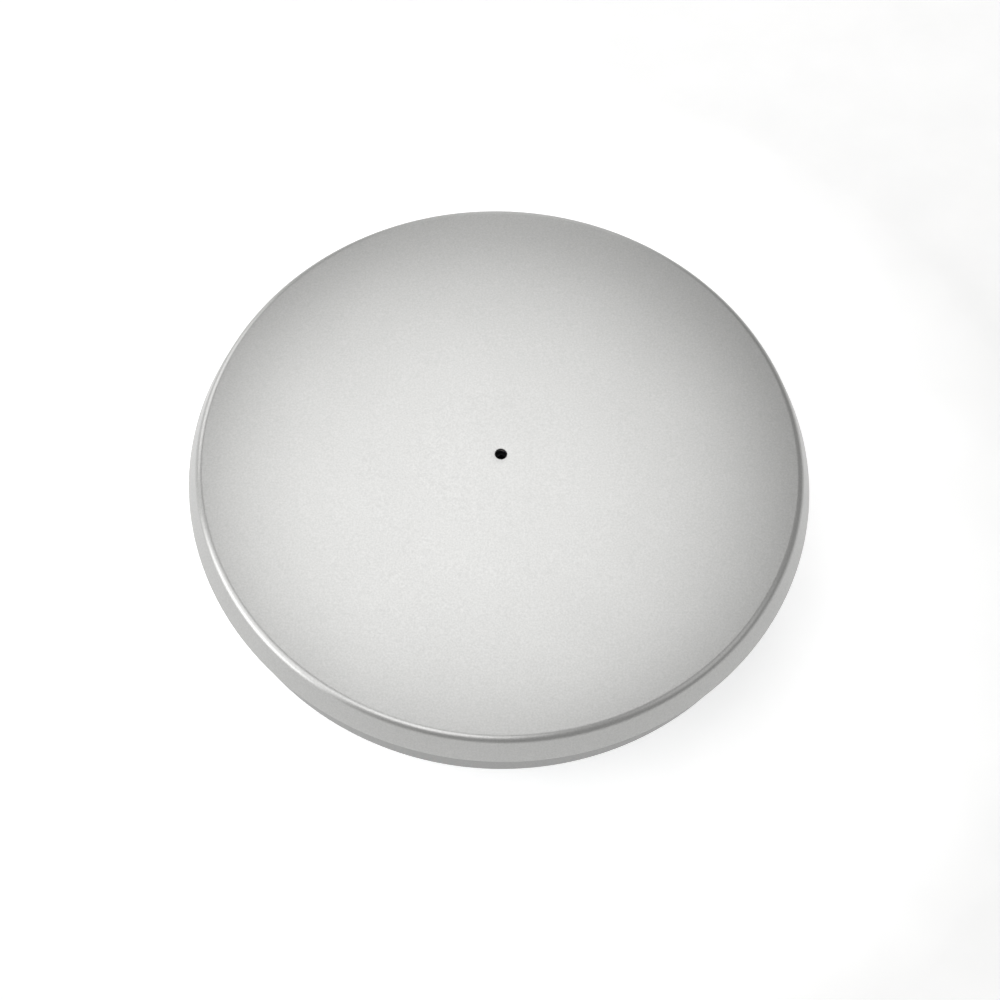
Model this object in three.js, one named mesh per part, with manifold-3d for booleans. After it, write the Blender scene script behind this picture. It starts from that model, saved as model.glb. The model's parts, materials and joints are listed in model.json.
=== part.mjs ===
// Round ceiling air diffuser with a solid domed face plate, for a 160 mm duct.
// Units are millimetres. Z = 0 is the open end of the duct spigot and the face looks along +Z,
// so on a ceiling the whole part hangs the other way up.
import * as THREE from "three";
import { mergeVertices } from "three/addons/utils/BufferGeometryUtils.js";
import Module from "manifold-3d";

const wasm = await Module();
wasm.setup();

// ---------- Driving dimensions ----------

const GAP = 0.3; // air left between pieces that touch on the real object
const TRAVEL = 20; // how far the face plate can be screwed away from the back pan

// Face plate: sheet with a raked skirt, a rounded edge and a shallow dome.
const FACE_SHEET = 1.2;
const SKIRT_R = 150;
const SKIRT_Z = 81;
const SKIRT_DRAFT = 3.6;
const EDGE_HEIGHT = 14.3;
const EDGE_RADIUS = 4.5;
const DOME_SLOPE_DEG = 8;
const DOME_POWER = 4;
const KEY_HOLE_R = 2.8;

// Back pan: a flat plate lying in a rolled band, whose flat back is against the ceiling.
const PAN_SHEET = 1.2;
const PAN_Z = 55;
const PAN_R = 143.3;
const PAN_CORNER = 2.5;
const PAN_RIM_Z = SKIRT_Z + 4;
const PAN_LIP = 3;
const PLATE_SEAT = 6; // width of the band's lower lip, which the plate rests on
const PLATE_BEAD = { r: 105, half: 7, height: 1.5 };
const SCREW_HOLES = { count: 4, r: 2.75, circle: 119 };

// Duct spigot: a collar for a 160 mm duct, held in the plate between a bead and a rolled edge.
const SPIGOT_R = 79.5;
const SPIGOT_SHEET = 1;
const SPIGOT_BEND = 0.5;
const SPIGOT_EDGE_R = 85;
const SPIGOT_BEAD = 2.5;
const SEAL_SEAT = { from: 10, to: 20, depth: 1.4 };

// Crossbar: a strip across the spigot that carries the spindle nut and the two guide bushes.
const BAR_WIDTH = 28;
const BAR_SHEET = 2;
const BAR_TOP_Z = 52;
const BAR_TAB = 14;
const GUIDE_X = 42;
const BUSH = { r: 5.2, snapR: 5.9, flangeR: 7.5, flange: 1.5, depth: 3 };
const BAR_RIVET = { z: 43, side: 7.5, r: 1.6, headR: 3.3, headHeight: 1.5 };

// Spindle: an 8 mm screw with a socket head, and the hardware on it.
const SPINDLE_R = 4;
const SPINDLE_END_Z = 12;
const HEAD = { r: 6.5, bottom: 89.5, top: 97.5, socket: 4, socketDepth: 4 };
const THREAD_CLEARANCE = 0.35;
const NUT = { flats: 13, height: 6.5, collarR: 6 };
const LOCKING_RING = { r: 5.2, height: 1.8 };
const STOP_WASHER = { r: 8, thickness: 1.6 };

// Hub behind the face plate, which holds the spindle head between two thrust washers.
const HUB_R = 60;
const HUB_SHEET = 1.5;
const CUP = { bore: 8, r: 11, keyR: 3.5, bottom: 84.7, flangeR: 16, flange: 2 };
const CIRCLIP = { z: 86.4, thickness: 1, outer: 8.7, inner: 6.7, groove: 9, opening: 22, lug: 1.3, eye: 0.6 };
const THRUST_WASHER = { r: 7.7, thickness: 1.2 };

// Guide pins: fixed in the hub plate by their stakes, and sliding in the crossbar's bushes.
const PIN = { r: 3, end: 24, chamfer: 0.8, shoulderR: 5, shoulder: 2, stakeR: 2.5 };

// Felt behind the dome, and the foam ring between the plate and the ceiling.
const FELT_RING = { inner: 64, outer: 137, thickness: 6 };
const CEILING_GASKET = { inner: 122, outer: 134, height: 5 };

const RIM_SEGMENTS = 60; // steps round the large rings
const COLLAR_SEGMENTS = 48; // steps round the spigot and the middle-sized rings
const SMALL_SEGMENTS = 24; // steps round washers, bushes and the spindle
const PIN_SEGMENTS = 12; // steps round the guide pins and the smaller holes
const RIVET_SEGMENTS = 8;

// ---------- Shapes ----------

const deg = THREE.MathUtils.degToRad;
const point = (r, z) => new THREE.Vector2(r, z);

// Points along an arc in the (radius, height) plane, both ends included, angles in degrees.
function arc(r, z, radius, from, to, steps) {
  return Array.from({ length: steps + 1 }, (_, i) => {
    const angle = deg(from + ((to - from) * i) / steps);
    return point(r + radius * Math.cos(angle), z + radius * Math.sin(angle));
  });
}

// The outline of a bent sheet: the path, then the path moved to its right by the thickness.
function sheetOutline(path, thickness) {
  const right = (a, b) => point(b.y - a.y, a.x - b.x).normalize();
  const moved = path.map((p, i) => {
    const before = i > 0 ? right(path[i - 1], p) : right(p, path[i + 1]);
    const after = i < path.length - 1 ? right(p, path[i + 1]) : before;
    const mitre = before.clone().add(after).normalize();
    return p.clone().addScaledVector(mitre, thickness / mitre.dot(after));
  });
  return [...path, ...moved.reverse()];
}

// Turns a closed (radius, height) outline round Z, whichever way the outline runs.
function revolve(outline, segments) {
  const ring = THREE.ShapeUtils.isClockWise(outline) ? [...outline].reverse() : outline;
  return new THREE.LatheGeometry([...ring, ring[0]], segments).rotateX(Math.PI / 2);
}

// A flat ring, or a tube, between two radii and two heights.
function ring(inner, outer, bottom, top, segments = SMALL_SEGMENTS) {
  const outline = [point(inner, bottom), point(outer, bottom), point(outer, top), point(inner, top)];
  return revolve(outline, segments);
}

// A solid bar round Z.
function bar(r, bottom, top, segments = SMALL_SEGMENTS) {
  return new THREE.CylinderGeometry(r, r, top - bottom, segments)
    .rotateX(Math.PI / 2)
    .translate(0, 0, (top + bottom) / 2);
}

// A cutter for a hole along Z through whatever sheet is near height z.
function drill(r, z, segments = SMALL_SEGMENTS) {
  const reach = 5;
  return bar(r, z - reach, z + reach, segments);
}

// A hexagonal prism, by its size across flats.
function hexagon(flats, bottom, top) {
  return bar(flats / Math.sqrt(3), bottom, top, 6);
}

// Moves a piece that stands round Z to a place on a circle round Z.
function onCircle(geometry, radius, angle) {
  return geometry.translate(radius, 0, 0).rotateZ(deg(angle));
}

function box(x, y, bottom, top) {
  return new THREE.BoxGeometry(x, y, top - bottom).translate(0, 0, (top + bottom) / 2);
}

// ---------- Booleans ----------

function toSolid(geometry) {
  const bare = new THREE.BufferGeometry();
  bare.setAttribute("position", geometry.getAttribute("position"));
  bare.setIndex(geometry.index);
  const merged = mergeVertices(bare, 1e-4);
  return new wasm.Manifold(
    new wasm.Mesh({
      numProp: 3,
      vertProperties: merged.attributes.position.array,
      triVerts: new Uint32Array(merged.index.array),
    }),
  );
}

function toGeometry(solid) {
  const mesh = solid.getMesh();
  const geometry = new THREE.BufferGeometry();
  geometry.setAttribute("position", new THREE.BufferAttribute(mesh.vertProperties, 3));
  geometry.setIndex(new THREE.BufferAttribute(mesh.triVerts, 1));
  geometry.computeVertexNormals();
  return geometry;
}

function cut(geometry, ...tools) {
  return toGeometry(tools.reduce((left, tool) => left.subtract(toSolid(tool)), toSolid(geometry)));
}

// ---------- Materials ----------

const metal = (color, roughness) => new THREE.MeshStandardMaterial({ color, roughness, metalness: 1 });
const plain = (color, roughness) => new THREE.MeshStandardMaterial({ color, roughness, metalness: 0 });
const SATIN = metal(0xd4d5d4, 0.4);
const GALVANISED = metal(0xb4b8ba, 0.45);
const ZINC = metal(0xc9ccd0, 0.3);
const BLACK_STEEL = metal(0x1c1c1e, 0.5);
const SPRING_STEEL = metal(0x9a9c9f, 0.3);
const NYLON = plain(0xe9e6dc, 0.5);
const RUBBER = plain(0x1d1d1e, 0.8);
const FOAM = plain(0x242426, 0.9);
const FELT = plain(0x3f4042, 0.95);

const diffuser = new THREE.Group();

function add(name, geometry, material) {
  const mesh = new THREE.Mesh(geometry, material);
  mesh.name = name;
  diffuser.add(mesh);
  return mesh;
}

// ---------- Face plate ----------

// The rounded edge is an arc. The skirt runs down from it as a tangent that ends at the skirt's foot.
const edgeR = SKIRT_R - SKIRT_DRAFT - EDGE_RADIUS;
const edgeZ = SKIRT_Z + EDGE_HEIGHT - EDGE_RADIUS;
const foot = point(SKIRT_R - edgeR, SKIRT_Z - edgeZ);
const skirtAngle = THREE.MathUtils.radToDeg(foot.angle() - 2 * Math.PI + Math.acos(EDGE_RADIUS / foot.length()));

// The dome leaves the rounded edge at the edge's own slope. Half of that slope has grown evenly
// from the middle, and the other half, by a higher power of the radius, comes near the edge.
const domeR = edgeR + EDGE_RADIUS * Math.sin(deg(DOME_SLOPE_DEG));
const domeZ = edgeZ + EDGE_RADIUS * Math.cos(deg(DOME_SLOPE_DEG));
const domeHalf = (domeR * Math.tan(deg(DOME_SLOPE_DEG))) / 2;
const domeRise = (t, power) => (1 - t ** (power + 1)) / (power + 1);
const domeTop = (r) => domeZ + domeHalf * (domeRise(r / domeR, 1) + domeRise(r / domeR, DOME_POWER));
const behindFace = (r) => domeTop(r) - FACE_SHEET - GAP;

function facePlate() {
  const dome = [KEY_HOLE_R, 36, 68, 92, 112, 128].map((r) => point(r, domeTop(r)));
  const edge = arc(edgeR, edgeZ, EDGE_RADIUS, 90 - DOME_SLOPE_DEG, skirtAngle, 4);
  return revolve(sheetOutline([...dome, ...edge, point(SKIRT_R, SKIRT_Z)], FACE_SHEET), RIM_SEGMENTS);
}

// Felt ring stuck behind the dome, between the hub plate and the skirt.
function faceInsulation() {
  const { inner, outer, thickness } = FELT_RING;
  const top = [inner, 88, 107, 123, outer].map((r) => point(r, behindFace(r)));
  return revolve(sheetOutline(top, thickness), COLLAR_SEGMENTS);
}

add("face_plate", facePlate(), SATIN);
add("face_insulation", faceInsulation(), FELT);

// ---------- Hub, guide pins and thrust washers ----------

const keyHoleTop = HEAD.top + GAP + THRUST_WASHER.thickness + GAP; // underside of the cup's own top

function hubPlate() {
  const top = [CUP.r + GAP, 28, 44, HUB_R].map((r) => point(r, behindFace(r)));
  const plate = revolve(sheetOutline(top, HUB_SHEET), COLLAR_SEGMENTS);
  const stakes = [-GUIDE_X, GUIDE_X].map((x) => {
    const hole = drill(PIN.stakeR + GAP, behindFace(GUIDE_X), PIN_SEGMENTS);
    return hole.translate(x, 0, 0);
  });
  return cut(plate, ...stakes);
}

// Turned cup: a boss through the hub plate, a flange under it, and a groove for the circlip.
function hubCup() {
  const flange = behindFace(CUP.flangeR) - HUB_SHEET - GAP;
  const grooveBottom = CIRCLIP.z - GAP;
  const grooveTop = CIRCLIP.z + CIRCLIP.thickness + GAP;
  return revolve(
    [
      point(CUP.keyR, behindFace(CUP.r)),
      point(CUP.r, behindFace(CUP.r)),
      point(CUP.r, flange),
      point(CUP.flangeR, flange),
      point(CUP.flangeR, flange - CUP.flange),
      point(CUP.r, flange - CUP.flange),
      point(CUP.r, CUP.bottom),
      point(CUP.bore, CUP.bottom),
      point(CUP.bore, grooveBottom),
      point(CIRCLIP.groove, grooveBottom),
      point(CIRCLIP.groove, grooveTop),
      point(CUP.bore, grooveTop),
      point(CUP.bore, keyHoleTop),
      point(CUP.keyR, keyHoleTop),
    ],
    SMALL_SEGMENTS,
  );
}

// Internal circlip: an open ring with a lug at each end and an eye for pliers in each lug.
function circlip() {
  const { outer, inner, thickness, opening, lug, eye } = CIRCLIP;
  const shape = new THREE.Shape();
  shape.absarc(0, 0, outer, deg(opening), deg(360 - opening), false);
  shape.absarc(0, 0, inner, deg(360 - opening), deg(opening), true);
  const open = new THREE.ExtrudeGeometry(shape, { depth: thickness, bevelEnabled: false, curveSegments: 16 });
  const atEnds = (make) => [opening, -opening].map((angle) => onCircle(make(), inner, angle));
  const lugs = atEnds(() => bar(lug, 0, thickness, PIN_SEGMENTS));
  const eyes = atEnds(() => drill(eye, 0, RIVET_SEGMENTS));
  const joined = lugs.reduce((all, piece) => all.add(toSolid(piece)), toSolid(open));
  return cut(toGeometry(joined), ...eyes);
}

// Shouldered pin along Z, with its stake at the top.
function guidePin() {
  const under = behindFace(GUIDE_X) - HUB_SHEET - GAP;
  const stakeTop = behindFace(GUIDE_X) - GAP / 2;
  return revolve(
    [
      point(0, PIN.end),
      point(PIN.r - PIN.chamfer, PIN.end),
      point(PIN.r, PIN.end + 1.5 * PIN.chamfer),
      point(PIN.r, under - PIN.shoulder),
      point(PIN.shoulderR, under - PIN.shoulder),
      point(PIN.shoulderR, under),
      point(PIN.stakeR, under),
      point(PIN.stakeR, stakeTop),
      point(0, stakeTop),
    ],
    PIN_SEGMENTS,
  );
}

const upperWasher = HEAD.top + GAP;
const lowerWasher = CIRCLIP.z + CIRCLIP.thickness + GAP;
const nutBore = SPINDLE_R + THREAD_CLEARANCE;

add("hub_plate", hubPlate(), ZINC);
add("hub_cup", hubCup(), ZINC);
add(
  "thrust_washer_upper",
  ring(CUP.keyR, THRUST_WASHER.r, upperWasher, upperWasher + THRUST_WASHER.thickness),
  NYLON,
);
add("thrust_washer_lower", ring(nutBore, THRUST_WASHER.r, lowerWasher, HEAD.bottom - GAP), NYLON);
add("circlip", circlip(), SPRING_STEEL).position.z = CIRCLIP.z;
[-1, 1].forEach((side, i) => {
  add(`guide_pin_${i + 1}`, guidePin(), ZINC).position.x = side * GUIDE_X;
});

// ---------- Spindle ----------

function spindle() {
  const endChamfer = 1;
  const headChamfer = 0.5;
  const screw = revolve(
    [
      point(0, SPINDLE_END_Z),
      point(SPINDLE_R - endChamfer, SPINDLE_END_Z),
      point(SPINDLE_R, SPINDLE_END_Z + endChamfer),
      point(SPINDLE_R, HEAD.bottom),
      point(HEAD.r, HEAD.bottom),
      point(HEAD.r, HEAD.top - headChamfer),
      point(HEAD.r - headChamfer, HEAD.top),
      point(0, HEAD.top),
    ],
    SMALL_SEGMENTS,
  );
  return cut(screw, hexagon(HEAD.socket, HEAD.top - HEAD.socketDepth, HEAD.top + GAP));
}

// The nut under the crossbar has a seat for its nylon locking ring; the stop nut is the same size.
const nutTop = BAR_TOP_Z - BAR_SHEET - GAP;
const nutBottom = nutTop - NUT.height;

// Its collar goes up through the crossbar and is swaged over on top.
function spindleNut() {
  const swage = { low: BAR_TOP_Z + GAP, high: BAR_TOP_Z + GAP + 0.8, overhang: 1.2, bevel: 0.4 };
  const collar = revolve(
    [
      point(0, nutTop - 2),
      point(NUT.collarR, nutTop - 2),
      point(NUT.collarR, swage.low),
      point(NUT.collarR + swage.overhang, swage.low),
      point(NUT.collarR + swage.overhang - swage.bevel, swage.high),
      point(0, swage.high),
    ],
    SMALL_SEGMENTS,
  );
  const body = toSolid(hexagon(NUT.flats, nutBottom, nutTop)).add(toSolid(collar));
  const seat = bar(LOCKING_RING.r + GAP, nutBottom - GAP, nutBottom + LOCKING_RING.height + GAP);
  const bore = bar(nutBore, nutBottom - GAP, swage.high + GAP);
  return cut(toGeometry(body), seat, bore);
}

const stopTop = nutBottom - GAP - TRAVEL;

function stopNut() {
  const top = stopTop - STOP_WASHER.thickness - GAP;
  const bore = bar(nutBore, top - NUT.height - GAP, top + GAP);
  return cut(hexagon(NUT.flats, top - NUT.height, top), bore);
}

add("spindle", spindle(), BLACK_STEEL);
add("spindle_nut", spindleNut(), ZINC);
add("nut_locking_ring", ring(nutBore, LOCKING_RING.r, nutBottom, nutBottom + LOCKING_RING.height), NYLON);
add("stop_washer", ring(nutBore, STOP_WASHER.r, stopTop - STOP_WASHER.thickness, stopTop), ZINC);
add("stop_nut", stopNut(), ZINC);

// ---------- Crossbar and guide bushes ----------

const tabZ = BAR_TOP_Z - BAR_TAB; // lower end of the tabs
const boreR = SPIGOT_R - SPIGOT_SHEET; // inside of the spigot
const barRivetAngle = THREE.MathUtils.radToDeg(Math.asin(BAR_RIVET.side / boreR));
const barRivetAngles = [0, 180].flatMap((end) => [end - barRivetAngle, end + barRivetAngle]);

function crossbar() {
  const reach = boreR - GAP;
  const strip = toSolid(box(2 * SPIGOT_R, BAR_WIDTH, tabZ, BAR_TOP_Z));
  const disc = toSolid(bar(reach, BAR_TOP_Z - BAR_SHEET, BAR_TOP_Z, COLLAR_SEGMENTS));
  const tabs = toSolid(ring(reach - BAR_SHEET, reach, tabZ, BAR_TOP_Z - 0.1, COLLAR_SEGMENTS));
  const bent = toGeometry(disc.add(tabs).intersect(strip));
  const bushHoles = [-GUIDE_X, GUIDE_X].map((x) => drill(BUSH.r + GAP, BAR_TOP_Z).translate(x, 0, 0));
  const nutHole = drill(NUT.collarR + GAP, BAR_TOP_Z);
  return cut(bent, nutHole, ...bushHoles, ...barRivetAngles.map(barRivetHole));
}

// Lays a piece made along Z on its side, pointing outwards at an angle, at the crossbar rivets' height.
function radial(geometry, angle) {
  return geometry.rotateY(Math.PI / 2).rotateZ(deg(angle)).translate(0, 0, BAR_RIVET.z);
}

function barRivetHole(angle) {
  return radial(drill(BAR_RIVET.r + GAP, boreR, RIVET_SEGMENTS), angle);
}

// Bush along Z: its flange is on the crossbar, and its snap lip is under it.
function guideBush() {
  const bore = PIN.r + GAP;
  const under = BAR_TOP_Z - BAR_SHEET;
  const flange = BAR_TOP_Z + GAP;
  return revolve(
    [
      point(bore, under - BUSH.depth),
      point(BUSH.r, under - BUSH.depth),
      point(BUSH.snapR, under - 3 * GAP),
      point(BUSH.snapR, under - GAP),
      point(BUSH.r, under - GAP),
      point(BUSH.r, flange),
      point(BUSH.flangeR, flange),
      point(BUSH.flangeR, flange + BUSH.flange),
      point(bore, flange + BUSH.flange),
    ],
    SMALL_SEGMENTS,
  );
}

// Rivet of a given grip along Z from 0 downwards, with a domed head on top and a set end below.
function rivet({ r, headR, headHeight }, grip) {
  return revolve(
    [
      point(0, headHeight),
      point(headR * 0.6, headHeight * 0.85),
      point(headR, GAP),
      point(r, GAP),
      point(r, -grip),
      point(headR * 0.8, -grip),
      point(headR * 0.7, -grip - headHeight * 0.6),
      point(0, -grip - headHeight * 0.6),
    ],
    RIVET_SEGMENTS,
  );
}

add("crossbar", crossbar(), GALVANISED);
[-1, 1].forEach((side, i) => {
  add(`guide_bush_${i + 1}`, guideBush(), NYLON).position.x = side * GUIDE_X;
});
barRivetAngles.forEach((angle, i) => {
  const grip = BAR_SHEET + SPIGOT_SHEET + 2 * GAP;
  const turned = rivet(BAR_RIVET, grip).rotateX(Math.PI);
  turned.translate(0, 0, boreR - GAP - BAR_SHEET);
  add(`crossbar_rivet_${i + 1}`, radial(turned, angle), ZINC);
});

// ---------- Duct spigot and its seal ----------

const plateZ = PAN_Z + PAN_SHEET + GAP; // underside of the plate
const rolledZ = plateZ + PAN_SHEET + GAP; // underside of the spigot's rolled edge

function spigotTube() {
  const bend = SPIGOT_BEND + SPIGOT_SHEET;
  const seat = boreR - SEAL_SEAT.depth;
  const bead = boreR + SPIGOT_BEAD;
  const path = [
    point(boreR - 1, 0),
    point(boreR - 1, 1),
    point(boreR, 6),
    point(boreR, SEAL_SEAT.from),
    point(seat, SEAL_SEAT.from + 1),
    point(seat, SEAL_SEAT.to - 1),
    point(boreR, SEAL_SEAT.to),
    point(boreR, plateZ - 6),
    point(bead, plateZ - 4),
    point(bead, plateZ - 2.3),
    point(boreR, plateZ - 0.6),
    ...arc(boreR + bend, rolledZ - SPIGOT_BEND, bend, 180, 90, 2),
    point(SPIGOT_EDGE_R, rolledZ + SPIGOT_SHEET),
  ];
  return revolve(sheetOutline(path, SPIGOT_SHEET), COLLAR_SEGMENTS);
}

// Rubber seal: a band in the spigot's seat with two lips that bend against the duct.
function lipSeal() {
  const seat = SPIGOT_R - SEAL_SEAT.depth + GAP;
  const band = { bottom: SEAL_SEAT.from + 1.8, top: SEAL_SEAT.to - 1.8 };
  const lip = { reach: 3.2, root: 1.6, tip: 0.7, lean: 1.8, spacing: 4 };
  const lips = [band.bottom, band.bottom + lip.spacing].flatMap((z) => [
    point(SPIGOT_R, z),
    point(SPIGOT_R + lip.reach, z + lip.lean),
    point(SPIGOT_R + lip.reach, z + lip.lean + lip.tip),
    point(SPIGOT_R, z + lip.root),
  ]);
  return revolve([point(seat, band.bottom), ...lips, point(seat, band.top)], COLLAR_SEGMENTS);
}

add("duct_spigot", cut(spigotTube(), ...barRivetAngles.map(barRivetHole)), GALVANISED);
add("spigot_lip_seal", lipSeal(), RUBBER);

// ---------- Back plate, rim band and ceiling gasket ----------

const wallR = PAN_R - PAN_SHEET; // inside of the band

// The path is the plate's upper surface, from the spigot hole out to its edge.
function backPlate() {
  const top = plateZ + PAN_SHEET;
  const { r, half, height } = PLATE_BEAD;
  const path = [
    point(SPIGOT_R + SPIGOT_BEND, top),
    point(r - half, top),
    point(r - half / 2, top + height),
    point(r + half / 2, top + height),
    point(r + half, top),
    point(wallR - 1, top),
  ];
  const plate = revolve(sheetOutline(path, PAN_SHEET), RIM_SEGMENTS);
  const screwHoles = Array.from({ length: SCREW_HOLES.count }, (_, i) => {
    const hole = drill(SCREW_HOLES.r, plateZ, PIN_SEGMENTS);
    return onCircle(hole, SCREW_HOLES.circle, 45 + (360 / SCREW_HOLES.count) * i);
  });
  return cut(plate, ...screwHoles);
}

// The path is the band's inner surface, from its lower lip up the wall to its upper lip.
function rimBand() {
  const floor = PAN_Z + PAN_SHEET;
  const bend = PAN_CORNER - PAN_SHEET;
  const path = [
    point(wallR - PLATE_SEAT, floor),
    ...arc(wallR - bend, floor + bend, bend, 270, 360, 2),
    ...arc(wallR - bend, PAN_RIM_Z - PAN_CORNER, bend, 0, 90, 2),
    point(wallR - PAN_LIP, PAN_RIM_Z - PAN_SHEET),
  ];
  return revolve(sheetOutline(path, PAN_SHEET), RIM_SEGMENTS);
}

// Foam ring stuck to the underside of the plate. It stands out past the band's lower lip.
function ceilingGasket() {
  const { inner, outer, height } = CEILING_GASKET;
  const top = plateZ - GAP;
  return ring(inner, outer, top - height, top, COLLAR_SEGMENTS);
}

add("back_plate", backPlate(), GALVANISED);
add("rim_band", rimBand(), SATIN);
add("ceiling_gasket", ceilingGasket(), FOAM);

export default diffuser;
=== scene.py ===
"""Looks, light and camera for a round ceiling air diffuser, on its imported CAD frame.

Lengths here are in millimetres, up to the moment a mesh is made. Angles are in degrees.
"""
import json
import math

import bmesh
import bpy
from mathutils import Matrix, Vector


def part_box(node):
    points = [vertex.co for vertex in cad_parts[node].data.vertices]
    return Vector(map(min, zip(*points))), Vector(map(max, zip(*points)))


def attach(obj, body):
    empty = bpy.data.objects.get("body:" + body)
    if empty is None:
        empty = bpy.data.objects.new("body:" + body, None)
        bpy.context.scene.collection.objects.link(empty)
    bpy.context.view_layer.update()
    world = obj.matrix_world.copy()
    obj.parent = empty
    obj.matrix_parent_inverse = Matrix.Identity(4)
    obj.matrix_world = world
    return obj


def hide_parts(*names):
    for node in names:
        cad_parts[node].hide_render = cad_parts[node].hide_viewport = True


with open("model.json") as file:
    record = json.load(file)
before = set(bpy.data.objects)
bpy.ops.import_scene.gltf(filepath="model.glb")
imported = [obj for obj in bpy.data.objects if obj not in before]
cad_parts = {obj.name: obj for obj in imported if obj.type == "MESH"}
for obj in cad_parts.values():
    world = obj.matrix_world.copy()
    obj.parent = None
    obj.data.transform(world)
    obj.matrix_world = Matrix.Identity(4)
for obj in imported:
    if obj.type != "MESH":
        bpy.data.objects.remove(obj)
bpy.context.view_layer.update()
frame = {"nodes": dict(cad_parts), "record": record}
MM = 0.001
GAP = 0.3  # air between pieces that touch on the real object
KEY_R = 3.5  # hole for the hex key through the hub cup and the upper washer

BODY_OF = {
    node: body
    for body, nodes in frame["record"]["behaviour"]["bodies"].items()
    for node in nodes
}
SLOT_OF = {s["node"]: s["material_slot"] for s in frame["record"]["subparts"]}


def low(node, axis="z"):
    return getattr(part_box(node)[0], axis) / MM


def high(node, axis="z"):
    return getattr(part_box(node)[1], axis) / MM


def middle_x(node):
    return (low(node, "x") + high(node, "x")) / 2


# ---------- Camera ----------

# The view looks down at the face from the front, a little rolled.
CAMERA_AIM = (0.74, -13.47, 81.0)
CAMERA_DISTANCE = 1336.9
CAMERA_ELEVATION = 61.505
CAMERA_ROLL = 3.219
LENS = 100
SENSOR = 36


def add_camera():
    tilt = math.radians(CAMERA_ELEVATION)
    roll = math.radians(CAMERA_ROLL)
    back = Vector((0, -math.cos(tilt), math.sin(tilt)))
    level_up = Vector((0, math.sin(tilt), math.cos(tilt)))
    level_right = Vector((1, 0, 0))
    right = math.cos(roll) * level_right + math.sin(roll) * level_up
    up = math.cos(roll) * level_up - math.sin(roll) * level_right
    data = bpy.data.cameras.new("camera")
    data.lens = LENS
    data.sensor_width = SENSOR
    camera = bpy.data.objects.new("camera", data)
    camera.matrix_world = Matrix((right, up, back)).transposed().to_4x4()
    camera.location = (Vector(CAMERA_AIM) + CAMERA_DISTANCE * back) * MM
    bpy.context.scene.collection.objects.link(camera)
    bpy.context.scene.camera = camera


add_camera()

# ---------- Outlines: lists of (radius, height) points ----------

CORNER_SHARE = 0.45  # most of a straight side that a rounded corner may take up
ON_AXIS = 1e-6


def arc(r, z, radius, start, end, steps):
    angles = [math.radians(start + (end - start) * i / steps) for i in range(steps + 1)]
    return [(r + radius * math.cos(a), z + radius * math.sin(a)) for a in angles]


def bend(start, corner, end, steps):
    """Points on a smooth curve from start to end that leans towards the corner."""
    shares = [k / steps for k in range(steps + 1)]
    return [tuple(start.lerp(corner, t).lerp(corner.lerp(end, t), t)) for t in shares]


def sheet_outline(path, thickness):
    """The outline of a bent sheet: the path, then the path moved to its right."""
    points = [Vector(p) for p in path]
    steps = [(b - a).normalized() for a, b in zip(points, points[1:])]
    rights = [Vector((s.y, -s.x)) for s in steps]
    moved = []
    for i, p in enumerate(points):
        before = rights[max(i - 1, 0)]
        after = rights[min(i, len(rights) - 1)]
        mitre = (before + after).normalized()
        moved.append(p + mitre * thickness / mitre.dot(after))
    return [tuple(p) for p in points + moved[::-1]]


def rounded(outline, radius, steps=4, least_turn=35):
    """The closed outline with each sharp corner that is off the axis rounded."""
    result = []
    count = len(outline)
    for i, corner in enumerate(outline):
        p = Vector(corner)
        back = Vector(outline[i - 1]) - p
        ahead = Vector(outline[(i + 1) % count]) - p
        turn = 180 - math.degrees(back.angle(ahead))
        if turn < least_turn or p.x < ON_AXIS:
            result.append(corner)
            continue
        reach = math.tan(math.radians(turn / 2))
        r = min(radius, CORNER_SHARE * min(back.length, ahead.length) / reach)
        start = p + back.normalized() * r * reach
        end = p + ahead.normalized() * r * reach
        result += bend(start, p, end, steps)
    return result


def softened(path, reach, steps=4):
    """The open path with each bend spread over a short curve."""
    result = [path[0]]
    for before, corner, after in zip(path, path[1:], path[2:]):
        p, a, b = Vector(corner), Vector(before), Vector(after)
        start = p + (a - p).normalized() * min(reach, (a - p).length * CORNER_SHARE)
        end = p + (b - p).normalized() * min(reach, (b - p).length * CORNER_SHARE)
        result += bend(start, p, end, steps)
    result.append(path[-1])
    return result


def ring_outline(inner, outer, bottom, top):
    return [(inner, bottom), (outer, bottom), (outer, top), (inner, top)]


# ---------- Meshes ----------

SHARP_AFTER_CUT = 35


def new_piece(name, bm, sharp=50):
    bmesh.ops.recalc_face_normals(bm, faces=bm.faces)
    mesh = bpy.data.meshes.new(name)
    bm.to_mesh(mesh)
    bm.free()
    mesh.polygons.foreach_set("use_smooth", [True] * len(mesh.polygons))
    mesh.set_sharp_from_angle(angle=math.radians(sharp))
    piece = bpy.data.objects.new(name, mesh)
    bpy.context.scene.collection.objects.link(piece)
    return piece


def even_normals(piece):
    """Flat faces stay flat next to rounded edges."""
    piece.modifiers.new("even_normals", "WEIGHTED_NORMAL").keep_sharp = True


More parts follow.
